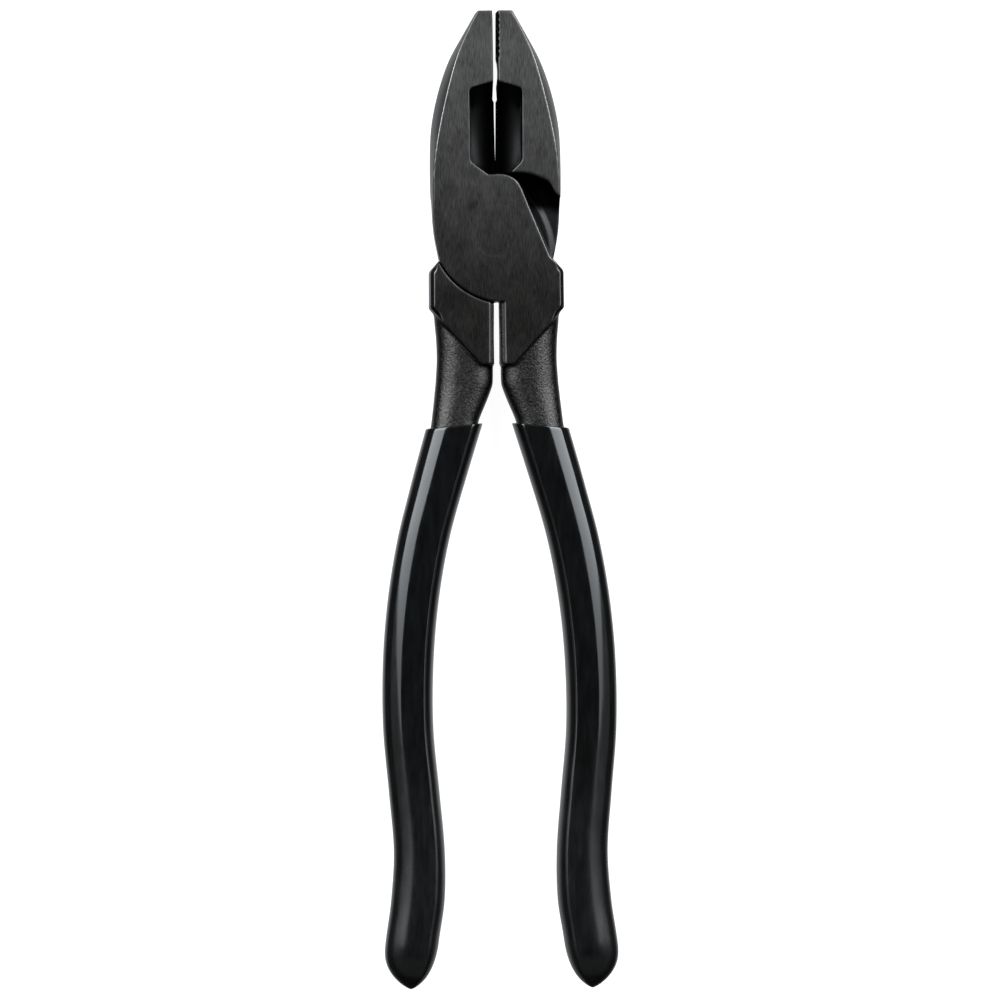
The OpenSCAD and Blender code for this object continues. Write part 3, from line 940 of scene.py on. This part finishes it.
def vinyl_material():
    """Glossy black dipped vinyl, slightly wavy, with faint rub marks and duller towards the grips' ends."""
    material, tree, shader = new_material("dipped_vinyl", Metallic=0.0, IOR=1.5)
    waves = noise(tree, 90, (1, 2, 1), detail=1.0)
    rub = noise(tree, 700, (1, 5, 1), detail=4.0)
    colour = mixed(tree, remap(tree, rub, low=0.35, high=0.75), grey(0.0015), grey(0.0035, warmth=-0.05))
    tree.links.new(colour, shader.inputs["Base Color"])
    polish = remap(tree, rub, low=0.3, high=0.75, to_low=0.08, to_high=0.15)
    dull = remap(tree, along(tree, "Y"), low=-0.118, high=-0.145, to_low=0.0, to_high=0.14)
    tree.links.new(math_node(tree, "ADD", polish, dull), shader.inputs["Roughness"])
    add_bump(tree, shader, waves, strength=0.5, distance=0.00015)
    return material


def floor_material():
    """Plain white floor, lit from within like a light table."""
    material, _, shader = new_material("white_floor", Roughness=0.9, Base_Color=grey(0.2))
    shader.inputs["Specular IOR Level"].default_value = 0.1
    shader.inputs["Emission Color"].default_value = (1.0, 1.0, 1.0, 1.0)
    shader.inputs["Emission Strength"].default_value = 0.97
    return material


# ---------- camera, lights and floor ----------

def add_camera():
    """Camera straight above the face, slightly from the left and slightly rolled."""
    off_axis, roll = math.radians(2.3), math.radians(0.476)
    distance, view_w, sensor = 3.0, 0.245, 36.0
    back = Vector((-math.sin(off_axis), 0, math.cos(off_axis)))
    right = Vector((math.cos(off_axis), 0, math.sin(off_axis)))
    up = Vector((0, 1, 0))
    right, up = right * math.cos(roll) - up * math.sin(roll), up * math.cos(roll) + right * math.sin(roll)
    aim_right, aim_down = 1.07, 66.15
    target = Vector((0, 0, MID_Z * MM)) + right * aim_right * MM - up * aim_down * MM
    data = bpy.data.cameras.new("camera")
    data.sensor_width = sensor
    data.lens = sensor * distance / view_w
    camera = bpy.data.objects.new("camera", data)
    axes = Matrix((right, up, back)).transposed().to_4x4()
    camera.matrix_world = Matrix.Translation(target + back * distance) @ axes
    bpy.context.scene.collection.objects.link(camera)
    bpy.context.scene.camera = camera


def add_softbox(name, side):
    """Lit panel a metre away on one side. Its lower edge rises towards the outside."""
    tilt = math.radians(52)
    towards = Vector((side * math.sin(tilt), 0, math.cos(tilt)))
    outward = Vector((side * math.cos(tilt), 0, -math.sin(tilt)))
    up = Vector((0, 1, 0))
    corners = [(-0.57, -0.2), (-0.57, 1.5), (0.45, 1.5), (0.45, 0.08)]
    mesh = bpy.data.meshes.new(name)
    mesh.from_pydata([towards + outward * a + up * b for a, b in corners], [], [(0, 1, 2, 3)])
    material, tree, shader = new_material("softbox_light", Base_Color=grey(0.0))
    strength = remap(tree, along(tree, "Y"), low=-0.1, high=0.4, to_low=2.4, to_high=11.0)
    tree.links.new(strength, shader.inputs["Emission Strength"])
    shader.inputs["Emission Color"].default_value = (0.9, 0.96, 1.0, 1.0)
    mesh.materials.append(material)
    panel = bpy.data.objects.new(name, mesh)
    panel.visible_camera = False
    bpy.context.scene.collection.objects.link(panel)


def add_world():
    """Studio room: dark overhead, pale around it, dark near the floor's level, pale below, weaker at -Y."""
    world = bpy.data.worlds.new("studio")
    world.use_nodes = True
    bpy.context.scene.world = world
    tree = world.node_tree
    background = tree.nodes["Background"]
    levels = tree.nodes.new("ShaderNodeValToRGB")
    tree.links.new(remap(tree, along(tree, "Z", "Generated"), low=-1, high=1), levels.inputs[0])
    stops = ((0.0, 0.6), (0.075, 0.6), (0.2, 0.05), (0.55, 0.05), (0.62, 0.4), (0.92, 0.4), (0.965, 0.03))
    points = levels.color_ramp.elements
    while len(points) < len(stops):
        points.new(0.5)
    for point, (position, level) in zip(points, stops):
        point.position = position
        point.color = (0.95 * level, 0.97 * level, level, 1.0)
    tree.links.new(levels.outputs["Color"], background.inputs["Color"])
    strength = remap(tree, along(tree, "Y", "Generated"), low=-0.35, high=0.05, to_low=0.45, to_high=1.0)
    tree.links.new(strength, background.inputs["Strength"])


def add_floor():
    """Floor under the object."""
    half = 4.0
    mesh = bpy.data.meshes.new("floor")
    corners = [(-half, -half, 0), (half, -half, 0), (half, half, 0), (-half, half, 0)]
    mesh.from_pydata(corners, [], [(0, 1, 2, 3)])
    floor = bpy.data.objects.new("floor", mesh)
    bpy.context.scene.collection.objects.link(floor)
    mesh.materials.append(floor_material())
    floor.visible_glossy = False


def add_piece(obj, body, node, material):
    """Gives a piece its material and body, and hides the CAD node that it stands for."""
    obj.data.materials.append(material)
    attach(obj, body)
    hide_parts(node)


def build():
    """Makes every piece and the studio around it."""
    add_camera()
    left_forging, right_forging = make_forgings()
    left_grip, right_grip = make_grips()
    steel, vinyl = steel_material(), vinyl_material()
    add_piece(left_forging, "left_jaw", "left_jaw_forging", steel)
    add_piece(right_forging, "right_jaw", "right_jaw_forging", steel)
    add_piece(make_rivet(), "right_jaw", "pivot_rivet", steel)
    add_piece(left_grip, "right_jaw", "left_grip", vinyl)
    add_piece(right_grip, "left_jaw", "right_grip", vinyl)
    add_floor()
    add_world()
    add_softbox("left_softbox", -1)
    add_softbox("right_softbox", 1)
    bpy.context.scene.view_settings.view_transform = "Standard"


build()
